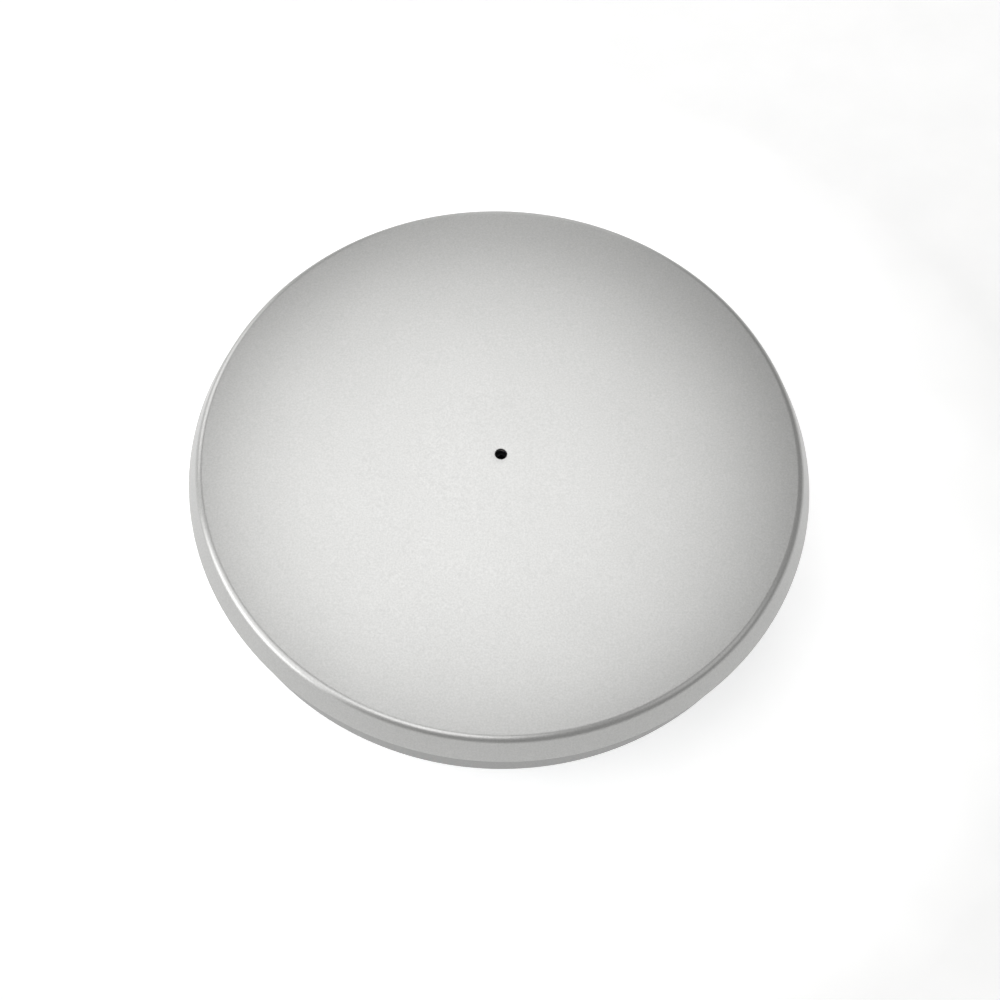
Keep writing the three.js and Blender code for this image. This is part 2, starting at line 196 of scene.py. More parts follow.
def spin(name, outline_at, steps, sharp=50):
    """A closed outline turned round Z. outline_at(angle) gives it at each angle."""
    bm = bmesh.new()
    rings = []
    for i in range(steps):
        angle = 2 * math.pi * i / steps
        rings.append([(r, z, angle) for r, z in outline_at(angle)])
    columns = []
    poles = {}
    for ring in rings:
        column = []
        for k, (r, z, angle) in enumerate(ring):
            if r > ON_AXIS:
                at = (r * MM * math.cos(angle), r * MM * math.sin(angle), z * MM)
                column.append(bm.verts.new(at))
            else:
                if k not in poles:
                    poles[k] = bm.verts.new((0, 0, z * MM))
                column.append(poles[k])
        columns.append(column)
    count = len(columns[0])
    for i in range(steps):
        a, b = columns[i], columns[(i + 1) % steps]
        for k in range(count):
            n = (k + 1) % count
            corners = list(dict.fromkeys((a[k], a[n], b[n], b[k])))
            if len(corners) > 2:
                bm.faces.new(corners)
    return new_piece(name, bm, sharp)


def lathe(name, outline, steps=64):
    piece = spin(name, lambda angle: outline, steps)
    even_normals(piece)
    return piece


def cut(piece, cutters, before_others=True):
    """Takes the cutters' shapes out of the piece, before or after its other modifiers."""
    for cutter in cutters:
        change = piece.modifiers.new("cut", "BOOLEAN")
        change.object = cutter
        change.solver = "EXACT"
        if before_others:
            piece.modifiers.move(len(piece.modifiers) - 1, 0)
    depsgraph = bpy.context.evaluated_depsgraph_get()
    mesh = bpy.data.meshes.new_from_object(piece.evaluated_get(depsgraph))
    piece.modifiers.clear()
    piece.data = mesh
    mesh.set_sharp_from_angle(angle=math.radians(SHARP_AFTER_CUT))
    for cutter in cutters:
        bpy.data.objects.remove(cutter)
    even_normals(piece)
    return piece


def plain_bar(name, r, centre, bottom=0, top=120):
    """A cutter: a round bar along Z, taller than the object."""
    outline = [(0, bottom), (r, bottom), (r, top), (0, top)]
    cutter = spin(name, lambda angle: outline, 48)
    return move(cutter, Matrix.Translation((centre[0] * MM, centre[1] * MM, 0)))


def move(piece, matrix):
    piece.data.transform(matrix)
    return piece


def hexagon_radius(flats, angle):
    """Distance from the axis to a hexagon whose flats face along X."""
    from_flat = (math.degrees(angle) + 30) % 60 - 30
    return flats / 2 / math.cos(math.radians(from_flat))


# ---------- Materials ----------

GRAIN = 2600  # noise scale of the finest grain: features of about 0.4 mm
FLAKES = 1200  # noise scale of the paint's metal flakes: features of about 0.8 mm
SILVER = (1.0, 1.0, 0.986)
HOLE_SHADE_EDGE = 0.1  # how far the painted shade in the key hole reaches past its bore


class Surface:
    """A Principled material whose pattern sockets are fed by textures in object space."""

    def __init__(self, name, metallic=0.0, **constants):
        self.material = bpy.data.materials.new(name)
        self.material.use_nodes = True
        self.nodes = self.material.node_tree.nodes
        self.links = self.material.node_tree.links
        self.shader = self.nodes["Principled BSDF"]
        self.shader.inputs["Metallic"].default_value = metallic
        for socket, value in constants.items():
            self.shader.inputs[socket.replace("_", " ")].default_value = value
        self.place = self.nodes.new("ShaderNodeTexCoord").outputs["Object"]

    def noise(self, scale, detail=2.0, stretch=(1, 1, 1)):
        at = self.place
        if stretch != (1, 1, 1):
            mapping = self.nodes.new("ShaderNodeMapping")
            mapping.inputs["Scale"].default_value = stretch
            self.links.new(at, mapping.inputs["Vector"])
            at = mapping.outputs["Vector"]
        node = self.nodes.new("ShaderNodeTexNoise")
        node.inputs["Scale"].default_value = scale
        node.inputs["Detail"].default_value = detail
        self.links.new(at, node.inputs["Vector"])
        return node.outputs["Fac"]

    def cells(self, scale, output="Color"):
        node = self.nodes.new("ShaderNodeTexVoronoi")
        node.inputs["Scale"].default_value = scale
        self.links.new(self.place, node.inputs["Vector"])
        return node.outputs[output]

    def ramp(self, fac, *stops):
        """Colour ramp from (position, colour or grey) stops."""
        node = self.nodes.new("ShaderNodeValToRGB")
        elements = node.color_ramp.elements
        for i, (position, value) in enumerate(stops):
            element = elements[i] if i < 2 else elements.new(position)
            element.position = position
            rgb = value if isinstance(value, tuple) else (value,) * 3
            element.color = (*rgb, 1)
        self.links.new(fac, node.inputs["Fac"])
        return node.outputs["Color"]

    def blend(self, kind, fac, a, b):
        node = self.nodes.new("ShaderNodeMix")
        node.data_type = "RGBA"
        node.blend_type = kind
        node.inputs["Factor"].default_value = fac
        self.links.new(a, node.inputs["A"])
        self.links.new(b, node.inputs["B"])
        return node.outputs["Result"]

    def length(self, reach):
        """Distance from the Z axis: 0 on it, and 1 at the reach in millimetres or further."""
        flat = self.nodes.new("ShaderNodeVectorMath")
        flat.operation = "MULTIPLY"
        flat.inputs[1].default_value = (1, 1, 0)
        self.links.new(self.place, flat.inputs[0])
        far = self.nodes.new("ShaderNodeVectorMath")
        far.operation = "LENGTH"
        self.links.new(flat.outputs["Vector"], far.inputs[0])
        share = self.nodes.new("ShaderNodeMapRange")
        share.inputs["From Max"].default_value = reach * MM
        self.links.new(far.outputs["Value"], share.inputs["Value"])
        return share.outputs["Result"]

    def with_painted_hole_shade(self, colour, reach):
        """The colour, turned black inside a key hole of that radius: painted shade for the dark
        hole.
        """
        inside, outside = 0.5, 0.53
        hole_shade = self.ramp(self.length(reach / inside), (inside, 0.02), (outside, 1.0))
        return self.blend("MULTIPLY", 1.0, colour, hole_shade)

    def to(self, socket, source):
        self.links.new(source, self.shader.inputs[socket])
        return self

    def bump(self, *layers):
        """Bump from (source, depth in mm) layers, laid one over the other."""
        normal = None
        for source, depth in layers:
            node = self.nodes.new("ShaderNodeBump")
            node.inputs["Strength"].default_value = 1.0
            node.inputs["Distance"].default_value = depth * MM
            self.links.new(source, node.inputs["Height"])
            if normal:
                self.links.new(normal, node.inputs["Normal"])
            normal = node.outputs["Normal"]
        return self.to("Normal", normal)


def silver_paint(name="silver_paint", tone=0.45):
    """Silver powder coat: fine metallic grain under a satin skin with faint orange peel."""
    s = Surface(name, metallic=1.0)
    grain = s.noise(GRAIN, 2)
    flakes = s.noise(FLAKES, 2)
    peel = s.noise(900, 1)
    cloud = s.noise(22, 3)
    darker, lighter = [tuple(tone * k * c for c in SILVER) for k in (0.93, 1.07)]
    tint = s.ramp(flakes, (0.3, darker), (0.7, lighter))
    shade = s.ramp(cloud, (0.3, 0.975), (0.7, 1.0))
    s.to("Base Color", s.blend("MULTIPLY", 1.0, tint, shade))
    s.to("Roughness", s.ramp(s.noise(1300, 2), (0.3, 0.31), (0.7, 0.37)))
    return s.bump((grain, 0.006), (peel, 0.01))


def silver_paint_painted_shade():
    """The same coat on the rim band, made darker: painted shade for the band under the skirt."""
    return silver_paint("silver_paint_painted_shade", tone=0.27)


def galvanised_steel():
    """Hot-dip galvanised sheet with its spangle of zinc crystals."""
    s = Surface("galvanised_steel", metallic=1.0)
    spangle = s.cells(150)
    grain = s.noise(GRAIN, 2)
    tone = s.ramp(spangle, (0.0, (0.50, 0.52, 0.53)), (1.0, (0.68, 0.70, 0.71)))
    bloom = s.ramp(s.noise(35, 4), (0.35, 0.88), (0.65, 1.0))
    s.to("Base Color", s.blend("MULTIPLY", 1.0, tone, bloom))
    s.to("Roughness", s.ramp(spangle, (0.0, 0.32), (1.0, 0.5)))
    return s.bump((grain, 0.004), (s.cells(150, "Distance"), 0.01))


def zinc_plated_steel():
    """Bright zinc plate on turned and pressed hardware, with fine turning marks."""
    s = Surface("zinc_plated_steel", metallic=1.0)
    marks = s.noise(700, 3, stretch=(0.1, 0.1, 4))
    tint = s.ramp(s.noise(120, 4), (0.35, (0.66, 0.69, 0.73)), (0.7, (0.78, 0.78, 0.76)))
    # the key hole's bore is painted black: painted shade for the dark hole
    s.to("Base Color", s.with_painted_hole_shade(tint, KEY_R + HOLE_SHADE_EDGE))
    s.to("Roughness", s.ramp(marks, (0.3, 0.2), (0.7, 0.38)))
    return s.bump((marks, 0.004))


def black_steel():
    """Black-oxidised screw steel, with a little oil sheen and a faintly mottled tone."""
    s = Surface("black_steel", metallic=1.0)
    tint = s.ramp(s.noise(300, 4), (0.3, (0.05, 0.05, 0.055)), (0.75, (0.12, 0.12, 0.125)))
    s.to("Base Color", tint)
    s.to("Roughness", s.ramp(s.noise(900, 2), (0.3, 0.3), (0.7, 0.5)))
    return s.bump((s.noise(GRAIN, 2), 0.004))


def spring_steel():
    s = Surface("spring_steel", metallic=1.0)
    tint = s.ramp(s.noise(400, 3), (0.3, (0.34, 0.35, 0.36)), (0.7, (0.5, 0.5, 0.5)))
    s.to("Base Color", tint)
    s.to("Roughness", s.ramp(s.noise(1200, 2), (0.3, 0.25), (0.7, 0.4)))
    return s.bump((s.noise(GRAIN, 2), 0.003))


def white_nylon():
    """Moulded nylon: slightly warm white, faint flow clouding."""
    s = Surface("white_nylon", Subsurface_Weight=0.15, Subsurface_Scale=0.002)
    tint = s.ramp(s.noise(90, 3), (0.3, (0.78, 0.76, 0.70)), (0.7, (0.86, 0.85, 0.80)))
    # the key hole's bore is painted black: painted shade for the dark hole
    s.to("Base Color", s.with_painted_hole_shade(tint, KEY_R + HOLE_SHADE_EDGE))
    s.to("Roughness", s.ramp(s.noise(700, 2), (0.3, 0.36), (0.7, 0.5)))
    return s.bump((s.noise(1800, 2), 0.005))


def black_rubber():
    """Moulded rubber with a dusting of talc in patches."""
    s = Surface("black_rubber", Specular_IOR_Level=0.4)
    dust = s.noise(60, 4)
    s.to("Base Color", s.ramp(dust, (0.4, (0.022, 0.022, 0.023)), (0.8, (0.06, 0.06, 0.06))))
    s.to("Roughness", s.ramp(dust, (0.4, 0.55), (0.8, 0.8)))
    return s.bump((s.noise(1500, 3), 0.012))


def gasket_foam():
    """Closed-cell foam: small cut cells over its whole surface."""
    s = Surface("gasket_foam", Specular_IOR_Level=0.25)
    cell = s.cells(1100, "Distance")
    s.to("Base Color", s.ramp(cell, (0.0, (0.02, 0.02, 0.022)), (0.6, (0.075, 0.075, 0.08))))
    s.to("Roughness", s.ramp(s.noise(200, 3), (0.3, 0.8), (0.7, 0.95)))
    return s.bump((cell, 0.25), (s.noise(120, 3), 0.2))


def grey_felt():
    """Needled polyester felt: crossing fibres, mottled grey."""
    s = Surface("grey_felt", Specular_IOR_Level=0.2, Sheen_Weight=0.3, Sheen_Roughness=0.6)
    fibre_a = s.noise(500, 5, stretch=(0.25, 2.5, 1))
    fibre_b = s.noise(500, 5, stretch=(2.2, 0.3, 1))
    fibres = s.blend("LIGHTEN", 1.0, fibre_a, fibre_b)
    s.to("Base Color", s.ramp(fibres, (0.4, (0.07, 0.07, 0.075)), (0.8, (0.2, 0.2, 0.205))))
    s.to("Roughness", s.ramp(s.noise(300, 2), (0.3, 0.85), (0.7, 1.0)))
    return s.bump((fibres, 0.35))


MAKERS = (
    silver_paint,
    silver_paint_painted_shade,
    galvanised_steel,
    zinc_plated_steel,
    black_steel,
    spring_steel,
    white_nylon,
    black_rubber,
    gasket_foam,
    grey_felt,
)
MATERIALS = {maker.__name__: maker().material for maker in MAKERS}
PAINTED_SHADE_FINISH = {"rim_band": "silver_paint_painted_shade"}  # nodes that take a darker copy of their slot's material, as painted shade


def stand_in(piece, node):
    """The piece takes a CAD node's place: its body and its material slot, or a darker copy of that
    slot's material as painted shade.
    """
    piece.data.materials.clear()
    piece.data.materials.append(MATERIALS[PAINTED_SHADE_FINISH.get(node, SLOT_OF[node])])
    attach(piece, BODY_OF[node])
    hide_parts(node)
    return piece


# ---------- Face plate and what is fixed to it ----------

FACE_SHEET = 1.2
FACE_R = high("face_plate", "x")
FACE_TOP = high("face_plate")
KEY_HOLE_R = 2.8
EDGE_RADIUS = 4.5
EDGE_HEIGHT = 14.3
SKIRT_DRAFT = 3.6
DOME_SLOPE = 8
DOME_POWER = 4


def dome_rise(r):
    """Height above the rounded edge. Half of the slope comes near the edge."""
    t = r / dome_r
    even = (1 - t**2) / 2
    late = (1 - t ** (DOME_POWER + 1)) / (DOME_POWER + 1)
    return dome_r * math.tan(math.radians(DOME_SLOPE)) / 2 * (even + late)


edge_r = FACE_R - SKIRT_DRAFT - EDGE_RADIUS
dome_r = edge_r + EDGE_RADIUS * math.sin(math.radians(DOME_SLOPE))
dome_z = FACE_TOP - dome_rise(KEY_HOLE_R)
edge_z = dome_z - EDGE_RADIUS * math.cos(math.radians(DOME_SLOPE))
foot_z = edge_z + EDGE_RADIUS - EDGE_HEIGHT


def dome_top(r):
    return dome_z + dome_rise(r)


def behind_face(r):
    return dome_top(r) - FACE_SHEET - GAP


def add_face_plate():
    foot = Vector((FACE_R - edge_r, foot_z - edge_z))
    skirt_angle = math.atan2(foot.y, foot.x) + math.acos(EDGE_RADIUS / foot.length)
    edge = arc(edge_r, edge_z, EDGE_RADIUS, 90 - DOME_SLOPE, math.degrees(skirt_angle), 14)
    dome_steps = 40
    radii = [KEY_HOLE_R + (dome_r - KEY_HOLE_R) * i / dome_steps for i in range(dome_steps)]
    skirt_top = Vector(edge[-1])
    skirt_foot = Vector((FACE_R, foot_z))
    skirt = [tuple(skirt_top.lerp(skirt_foot, t)) for t in (0.33, 0.67, 1)]
    path = [(r, dome_top(r)) for r in radii] + edge + skirt
    outline = rounded(sheet_outline(path, FACE_SHEET), 0.4)
    return stand_in(lathe("face_sheet", outline, 256), "face_plate")


FELT_BORE, FELT_THICKNESS = 64, 6


def spaced(start, end, steps):
    return [start + (end - start) * i / steps for i in range(steps + 1)]


def add_face_insulation():
    radii = spaced(FELT_BORE, high("face_insulation", "x"), 12)
    path = [(r, behind_face(r)) for r in radii]
    outline = rounded(sheet_outline(path, FELT_THICKNESS), 1.2)
    return stand_in(lathe("felt_ring", outline, 192), "face_insulation")


HUB_SHEET = 1.5
CUP_BORE, CUP_R, CUP_FLANGE_R = 8, 11, 16
CUP_FLANGE, CUP_GROOVE = 2, 1
HEAD_TOP = high("spindle")
SPINDLE_R = 4
RUNNING_FIT = 0.35


def add_hub_plate():
    bore, outer = CUP_R + GAP, high("hub_plate", "x")
    radii = spaced(bore, outer, 10)
    outline = sheet_outline([(r, behind_face(r)) for r in radii], HUB_SHEET)
    return stand_in(lathe("hub_disc", rounded(outline, 0.35), 128), "hub_plate")


def add_hub_cup():
    flange = behind_face(CUP_FLANGE_R) - HUB_SHEET - GAP
    bottom = low("hub_cup")
    ceiling = high("thrust_washer_upper") + GAP
    groove_r = CUP_BORE + CUP_GROOVE
    groove_low, groove_high = low("circlip") - GAP, high("circlip") + GAP
    outline = [
        (KEY_R, behind_face(CUP_R)),
        (CUP_R, behind_face(CUP_R)),
        (CUP_R, flange),
        (CUP_FLANGE_R, flange),
        (CUP_FLANGE_R, flange - CUP_FLANGE),
        (CUP_R, flange - CUP_FLANGE),
        (CUP_R, bottom),
        (CUP_BORE, bottom),
        (CUP_BORE, groove_low),
        (groove_r, groove_low),
        (groove_r, groove_high),
        (CUP_BORE, groove_high),
        (CUP_BORE, ceiling),
        (KEY_R, ceiling),
    ]
    return stand_in(lathe("hub_socket", rounded(outline, 0.4), 96), "hub_cup")


def add_washer(node, bore, outer=None, edge=0.25):
    outer = outer or high(node, "x")
    outline = rounded(ring_outline(bore, outer, low(node), high(node)), edge)
    return stand_in(lathe(node + "_ring", outline, 96), node)


PIN_R, PIN_COLLAR_R, PIN_STAKE_R = 3, 5, 2.5
PIN_COLLAR = 2
PIN_TIP_R, PIN_TIP = 2.2, 1.2


def add_guide_pin(node):
    end, top = low(node), high(node)
    under = top - HUB_SHEET - GAP / 2
    outline = [
        (0, end),
        (PIN_TIP_R, end),
        (PIN_R, end + PIN_TIP),
        (PIN_R, under - PIN_COLLAR),
        (PIN_COLLAR_R, under - PIN_COLLAR),
        (PIN_COLLAR_R, under),
        (PIN_STAKE_R, under),
        (PIN_STAKE_R, top),
        (0, top),
    ]
    pin = lathe(node + "_shaft", rounded(outline, 0.3), 48)
    move(pin, Matrix.Translation((middle_x(node) * MM, 0, 0)))
    return stand_in(pin, node)


add_face_plate()
add_face_insulation()
add_hub_plate()
add_hub_cup()
add_washer("thrust_washer_upper", KEY_R)
add_washer("thrust_washer_lower", SPINDLE_R + RUNNING_FIT)
add_guide_pin("guide_pin_1")
add_guide_pin("guide_pin_2")

circlip = frame["nodes"]["circlip"]
circlip.data.materials.clear()
circlip.data.materials.append(MATERIALS["spring_steel"])
circlip.modifiers.new("edges", "BEVEL").width = 0.12 * MM

# ---------- Spindle and its end stop ----------

THREAD_PITCH = 1.25
THREAD_DEPTH = 0.75
THREAD_ROWS = 8  # rows of vertices in one turn of the thread
SHANK_BOTTOM = 58
SOCKET_FLATS, SOCKET_DEPTH = 4, 4


def thread_radius(z, angle, bottom, top):
    """Radius of a right-hand thread, with the first and last turns run out to a cone."""
    phase = (z / THREAD_PITCH - angle / (2 * math.pi)) % 1
    valley = 1 - abs(2 * phase - 1)
    sides = min(max((valley - 0.1) / 0.75, 0), 1)
    runout = min(max((top - z) / THREAD_PITCH, 0), 1)
    cone = SPINDLE_R - 1 + (z - bottom)
    return min(SPINDLE_R - THREAD_DEPTH * sides * runout, cone)


def add_spindle():
    bottom = low("spindle")
    head_r = high("spindle", "x")
    head_bottom = high("thrust_washer_lower") + GAP
    rows = int((SHANK_BOTTOM - bottom) / THREAD_PITCH * THREAD_ROWS)
    heights = [bottom + (SHANK_BOTTOM - bottom) * i / rows for i in range(rows + 1)]
    head = [
        (SPINDLE_R, SHANK_BOTTOM + 2),
        (SPINDLE_R, head_bottom - 0.3),
        (SPINDLE_R + 0.3, head_bottom),
        (head_r - 0.3, head_bottom),
        (head_r, head_bottom + 0.3),
        (head_r, HEAD_TOP - 0.9),
        (head_r - 0.25, HEAD_TOP - 0.25),
        (head_r - 0.9, HEAD_TOP),
        (0, HEAD_TOP),
    ]

    def outline_at(angle):
        thread = [(thread_radius(z, angle, bottom, SHANK_BOTTOM), z) for z in heights]
        return [(0, bottom)] + thread + head

    def socket_at(angle):
        r = hexagon_radius(SOCKET_FLATS, angle)
        floor = HEAD_TOP - SOCKET_DEPTH
        return [(0, floor - 1), (r, floor), (r, HEAD_TOP + 1), (0, HEAD_TOP + 1)]

    screw = spin("socket_screw", outline_at, 48)
    return stand_in(cut(screw, [spin("socket", socket_at, 48)]), "spindle")


def add_hex_nut(node, flats, bore, collar=()):
    """A nut with its corners taken off at 30 degrees, a countersunk bore, and maybe a collar."""
    bottom, top = low(node), high(node)
    face_r = flats / 2 * 0.97
    sink = 0.5

    def outline_at(angle):
        r = hexagon_radius(flats, angle)
        chamfer = (r - face_r) * math.tan(math.radians(30))
        lower = [
            (bore, bottom + sink),
            (bore + sink, bottom),
            (face_r, bottom),
            (r, bottom + chamfer),
        ]
        if collar:
            upper = [(r, collar[0][1]), *collar]
        else:
            upper = [(r, top - chamfer), (face_r, top), (bore + sink, top)]
        return [*lower, *upper, (bore, upper[-1][1] - sink)]

    nut = spin(node + "_hexagon", outline_at, 96, sharp=25)
    even_normals(nut)
    return stand_in(nut, node)


NUT_FLATS = 13
NUT_COLLAR_R = 6
NUT_BORE = SPINDLE_R + RUNNING_FIT
BAR_TOP = high("crossbar")
BAR_SHEET = 2


def add_spindle_nut():
    """Bush nut: its collar goes up through the crossbar and is rolled over."""
    hexagon_top = BAR_TOP - BAR_SHEET - GAP
    collar_r = NUT_COLLAR_R
    top = high("spindle_nut")
    collar = [
        (collar_r, hexagon_top),
        (collar_r, top - 0.8),
        (collar_r + 1.0, top - 0.75),
        (collar_r + 1.1, top - 0.4),
        (collar_r + 0.7, top - 0.05),
        (NUT_BORE + 0.6, top),
    ]
    return add_hex_nut("spindle_nut", NUT_FLATS, NUT_BORE, collar)


add_spindle()
add_spindle_nut()
add_hex_nut("stop_nut", NUT_FLATS, NUT_BORE)
add_washer("stop_washer", NUT_BORE, edge=0.3)
add_washer("nut_locking_ring", NUT_BORE, edge=0.4)

# ---------- Crossbar ----------

BAR_REACH = high("crossbar", "x")
BAR_HALF = high("crossbar", "y")
BAR_LOW = low("crossbar")
BAR_BEND = 3
BUSH_X = 42
BUSH_R, BUSH_CLIP_R, BUSH_FLANGE_R = 5.2, 5.9, 7.5
RIVET_Z = 43
RIVET_SIDE = 7.5
RIVET_R, RIVET_HEAD_R, RIVET_HEAD = 1.6, 3.3, 1.5
SPIGOT_SHEET = 1
SPIGOT_R = 79.5


def strip_path(reach, steps=6):
    """Outer surface of the strip in the XZ plane, from one tab's end to the other's."""
    corner = arc(reach - BAR_BEND, BAR_TOP - BAR_BEND, BAR_BEND, 0, 90, steps)
    side = [(reach, BAR_LOW), (reach, BAR_LOW + 6)] + corner
    across = [(x, BAR_TOP) for x in range(70, -71, -10)]
    return side + across + [(-x, z) for x, z in side[::-1]]


def add_crossbar():
    bm = bmesh.new()
    columns = 16
    rows = []
    for i in range(columns + 1):
        y = BAR_HALF * (2 * i / columns - 1)
        reach = math.sqrt(BAR_REACH**2 - y**2)
        rows.append([bm.verts.new((x * MM, y * MM, z * MM)) for x, z in strip_path(reach)])
    for a, b in zip(rows, rows[1:]):
        for k in range(len(a) - 1):
            bm.faces.new((a[k], a[k + 1], b[k + 1], b[k]))
    strip = new_piece("support_strip", bm)
    polygons = strip.data.polygons
    middle = polygons[len(polygons) // 2]
    if middle.normal.z < 0:
        strip.data.flip_normals()
    solid = strip.modifiers.new("thickness", "SOLIDIFY")
    solid.thickness = BAR_SHEET * MM
    solid.use_even_offset = True
    holes = [plain_bar("hole_nut", NUT_COLLAR_R + GAP, (0, 0))]
    for x in (-BUSH_X, BUSH_X):
        holes.append(plain_bar(f"hole_bush_{x}", BUSH_R + GAP, (x, 0)))
    bevel = strip.modifiers.new("edges", "BEVEL")
    bevel.width = 0.3 * MM
    bevel.segments = 2
    return stand_in(cut(strip, holes, before_others=False), "crossbar")


def add_guide_bush(node):
    bore = PIN_R + GAP
    bottom, top = low(node), high(node)
    under = BAR_TOP - BAR_SHEET
    outline = [
        (bore, bottom),
        (BUSH_R, bottom),
        (BUSH_CLIP_R, under - GAP - 0.6),
        (BUSH_CLIP_R, under - GAP),
        (BUSH_R, under - GAP),
        (BUSH_R, BAR_TOP + GAP),
        (BUSH_FLANGE_R, BAR_TOP + GAP),
        (BUSH_FLANGE_R, top),
        (bore, top),
    ]
    bush = lathe(node + "_sleeve", rounded(outline, 0.35), 64)
    move(bush, Matrix.Translation((middle_x(node) * MM, 0, 0)))
    return stand_in(bush, node)


def rivet_outline(r, grip, head_r, head_height):
    """Rivet along Z: a domed head above 0 and a set end below -grip."""
    dome = [
        (head_r * math.cos(a), GAP + (head_height - GAP) * math.sin(a))
        for a in (math.radians(9 * i) for i in range(10))
    ]
    tail = -grip - head_height * 0.6
    return [
        (0, tail),
        (head_r * 0.6, tail),
        (head_r * 0.8, -grip),
        (r, -grip),
        (r, GAP),
        *dome,
        (0, head_height),
    ]


def add_crossbar_rivets():
    spigot_r = SPIGOT_R - SPIGOT_SHEET
    grip = BAR_SHEET + SPIGOT_SHEET + 2 * GAP
    inside = spigot_r - GAP - BAR_SHEET
    side = math.degrees(math.asin(RIVET_SIDE / spigot_r))
    angles = [end + lean for end in (0, 180) for lean in (-side, side)]
    for i, angle in enumerate(angles, 1):
        node = f"crossbar_rivet_{i}"
        outline = rounded(rivet_outline(RIVET_R, grip, RIVET_HEAD_R, RIVET_HEAD), 0.2)
        pin = lathe(node + "_pin", outline, 32)
        outwards = Matrix.Rotation(math.radians(90), 4, "Y")
        over = Matrix.Rotation(math.pi, 4, "X")
        turn = Matrix.Rotation(math.radians(angle), 4, "Z")
        lift = Matrix.Translation((0, 0, RIVET_Z * MM))
        push = Matrix.Translation((0, 0, inside * MM))
        move(pin, lift @ turn @ outwards @ push @ over)
        stand_in(pin, node)


add_crossbar()
add_guide_bush("guide_bush_1")
add_guide_bush("guide_bush_2")
add_crossbar_rivets()

# ---------- Duct spigot, back plate, rim band and gaskets ----------

SPIGOT_BEND = 0.5
SPIGOT_BEAD = 2.5
SEAT_LOW, SEAT_HIGH, SEAT_DEPTH = 10, 20, 1.4
PAN_SHEET = 1.2
PAN_R = high("rim_band", "x")
WALL_R = PAN_R - PAN_SHEET
PLATE_LOW = low("back_plate")
PLATE_BEAD_R, PLATE_BEAD_HALF, PLATE_BEAD_HEIGHT = 105, 7, 1.5
SCREW_HOLE_R, SCREW_CIRCLE = 2.75, 119
GASKET_BORE = 122
RIM_CORNER = 2.5


def add_duct_spigot():
    inner = SPIGOT_R - SPIGOT_SHEET
    outside = SPIGOT_BEND + SPIGOT_SHEET
    seat = inner - SEAT_DEPTH
    rolled = high("duct_spigot") - SPIGOT_SHEET
    tube = [
        (inner - 1, 0),
        (inner - 1, 1),
        (inner, 6),
        (inner, SEAT_LOW),
        (seat, SEAT_LOW + 1),
        (seat, SEAT_HIGH - 1),
        (inner, SEAT_HIGH),
        (inner, PLATE_LOW - 6),
        (inner + SPIGOT_BEAD, PLATE_LOW - 4),
        (inner + SPIGOT_BEAD, PLATE_LOW - 2.3),
        (inner, PLATE_LOW - 0.6),
        (inner, PLATE_LOW + 0.3),
    ]
    lip = arc(inner + outside, rolled - SPIGOT_BEND, outside, 180, 90, 6)
    path = softened(tube, 1.0) + lip + [(high("duct_spigot", "x"), rolled + SPIGOT_SHEET)]
    outline = rounded(sheet_outline(path, SPIGOT_SHEET), 0.3)
    return stand_in(lathe("duct_collar", outline, 192), "duct_spigot")


def add_lip_seal():
    seat = SPIGOT_R - SEAT_DEPTH + GAP
    lip = high("spigot_lip_seal", "x")
    outline = [
        (seat, SEAT_LOW + 1.8),
        (SPIGOT_R, SEAT_LOW + 1.8),
        (lip, SEAT_LOW + 3.6),
        (lip, SEAT_LOW + 4.3),
        (SPIGOT_R, SEAT_LOW + 3.4),
        (SPIGOT_R, SEAT_LOW + 5.8),
        (lip, SEAT_LOW + 7.6),
        (lip, SEAT_LOW + 8.3),
        (SPIGOT_R, SEAT_LOW + 7.4),
        (seat, SEAT_LOW + 8.2),
    ]
    return stand_in(lathe("duct_seal", rounded(outline, 0.3), 192), "spigot_lip_seal")


def add_back_plate():
    top = PLATE_LOW + PAN_SHEET
    r, half = PLATE_BEAD_R, PLATE_BEAD_HALF
    path = [
        (SPIGOT_R + SPIGOT_BEND, top),
        (r - half, top),
        (r - half / 2, top + PLATE_BEAD_HEIGHT),
        (r + half / 2, top + PLATE_BEAD_HEIGHT),
        (r + half, top),
        (WALL_R - 1, top),
    ]
    outline = rounded(sheet_outline(softened(path, 1.6), PAN_SHEET), 0.3)
    plate = lathe("ceiling_plate", outline, 192)
    holes = []
    for i in range(4):
        angle = math.radians(45 + 90 * i)
        centre = (SCREW_CIRCLE * math.cos(angle), SCREW_CIRCLE * math.sin(angle))
        holes.append(plain_bar(f"screw_hole_{i}", SCREW_HOLE_R, centre))
    return stand_in(cut(plate, holes), "back_plate")


def add_rim_band():
    bottom, top = low("rim_band"), high("rim_band")
    floor = bottom + PAN_SHEET
    inside = RIM_CORNER - PAN_SHEET
    path = [
        (WALL_R - 6, floor),
        *arc(WALL_R - inside, floor + inside, inside, 270, 360, 6),
        *arc(WALL_R - inside, top - RIM_CORNER, inside, 0, 90, 6),
        (WALL_R - 3, top - PAN_SHEET),
    ]
    outline = rounded(sheet_outline(path, PAN_SHEET), 0.35)
    return stand_in(lathe("rolled_band", outline, 256), "rim_band")


def add_ceiling_gasket():
    node = "ceiling_gasket"
    outline = ring_outline(GASKET_BORE, high(node, "x"), low(node), high(node))
    return stand_in(lathe("foam_ring", rounded(outline, 0.8), 192), node)


add_duct_spigot()
add_lip_seal()
add_back_plate()
add_rim_band()
add_ceiling_gasket()

# ---------- Floor and light ----------


# The floor is a light table: its glow, by distance in metres from the object's axis.
FLOOR_GLOW = ((0.15, 0.45), (0.30, 0.06))
FLOOR_REACH = 6  # metres, from its middle to each side
AMBIENT = 0.45


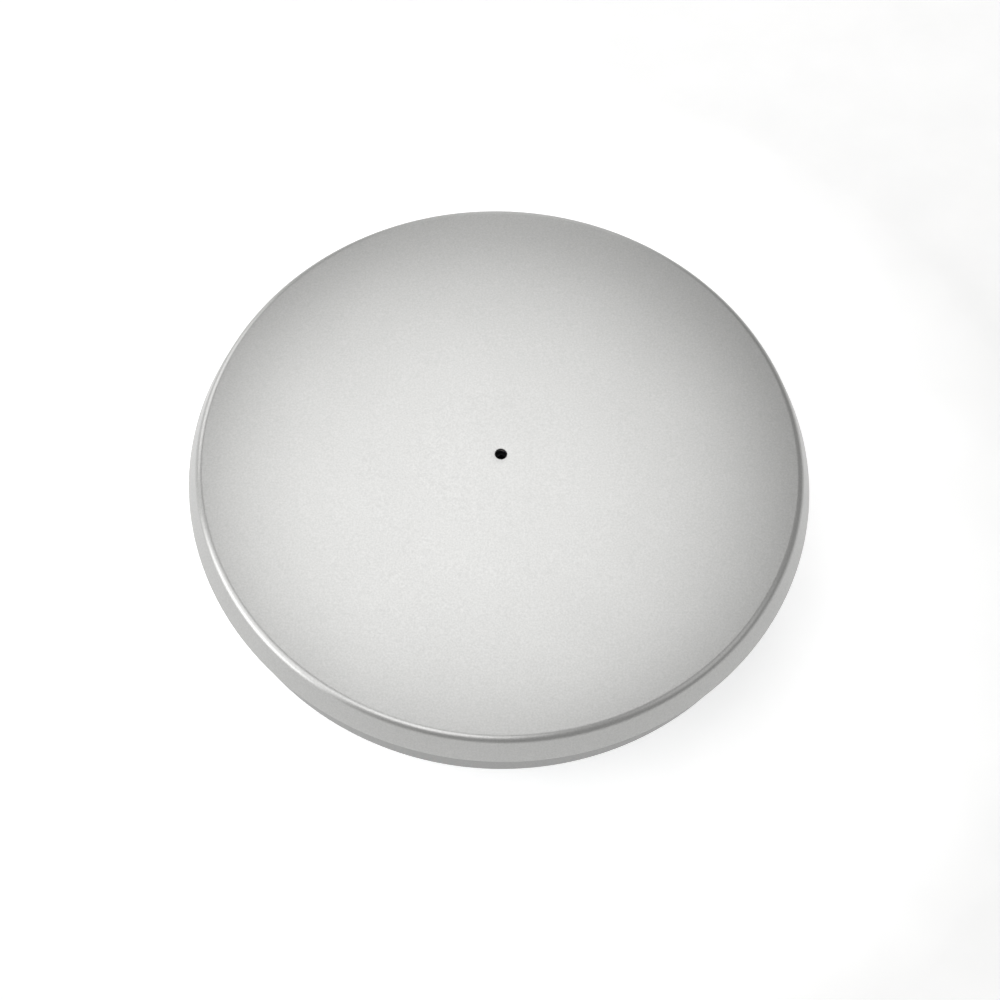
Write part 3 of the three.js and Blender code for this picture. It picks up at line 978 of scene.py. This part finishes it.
def add_floor():
    """A pale floor that is seen from above only."""
    bm = bmesh.new()
    corners = [(FLOOR_REACH * x, FLOOR_REACH * y) for x, y in ((-1, -1), (1, -1), (1, 1), (-1, 1))]
    bm.faces.new([bm.verts.new((x, y, 0)) for x, y in corners])
    mesh = bpy.data.meshes.new("floor")
    bm.to_mesh(mesh)
    bm.free()
    floor = bpy.data.objects.new("floor", mesh)
    bpy.context.scene.collection.objects.link(floor)
    s = Surface("pale_floor", Roughness=0.9, Specular_IOR_Level=0.1)
    s.to("Base Color", s.ramp(s.noise(30, 3), (0.3, 0.9), (0.7, 0.93)))
    s.shader.inputs["Emission Color"].default_value = (1, 1, 1, 1)
    s.to("Emission Strength", s.ramp(s.length(1000), *FLOOR_GLOW))
    through = s.nodes.new("ShaderNodeBsdfTransparent")
    side = s.nodes.new("ShaderNodeNewGeometry")
    mix = s.nodes.new("ShaderNodeMixShader")
    s.links.new(side.outputs["Backfacing"], mix.inputs["Fac"])
    s.links.new(s.shader.outputs["BSDF"], mix.inputs[1])
    s.links.new(through.outputs["BSDF"], mix.inputs[2])
    s.links.new(mix.outputs["Shader"], s.nodes["Material Output"].inputs["Surface"])
    mesh.materials.append(s.material)


def add_world(strength):
    world = bpy.data.worlds.new("studio")
    world.use_nodes = True
    background = world.node_tree.nodes["Background"]
    background.inputs["Color"].default_value = (1, 0.998, 0.99, 1)
    background.inputs["Strength"].default_value = strength
    bpy.context.scene.world = world


# Softboxes round the object. Azimuth 0 is the camera's side and 90 the object's right.
SOFTBOX_DISTANCE = 2.6  # metres
SOFTBOXES = (
    # name, azimuth, elevation, width and height in metres, power in watts
    ("overhead", 184, 69, 2.0, 2.0, 11.0),
    ("overhead_middle", 190, 64, 1.5, 1.5, 4.0),
    ("overhead_front", 340, 62, 1.4, 1.4, 10.0),
    ("left_wall", 288, 30, 2.4, 2.8, 29.0),
    ("left_low", 285, 10, 2.4, 1.2, 14.0),
    ("back_left", 230, 20, 1.6, 1.6, 10.0),
    ("back", 180, 20, 1.6, 1.6, 4.5),
    ("right", 75, 45, 1.6, 1.6, 3.2),
)


def add_softbox(name, azimuth, elevation, width, height, power):
    a, e = math.radians(azimuth), math.radians(elevation)
    away = Vector((math.sin(a) * math.cos(e), -math.cos(a) * math.cos(e), math.sin(e)))
    data = bpy.data.lights.new(name, "AREA")
    data.shape = "ELLIPSE" if width == height else "RECTANGLE"
    data.size = width
    data.size_y = height
    data.energy = power
    light = bpy.data.objects.new(name, data)
    light.location = away * SOFTBOX_DISTANCE
    light.rotation_euler = away.to_track_quat("Z", "Y").to_euler()
    bpy.context.scene.collection.objects.link(light)


add_floor()
add_world(AMBIENT)
for softbox in SOFTBOXES:
    add_softbox(*softbox)

scene = bpy.context.scene
scene.view_settings.view_transform = "Standard"
scene.view_settings.look = "None"
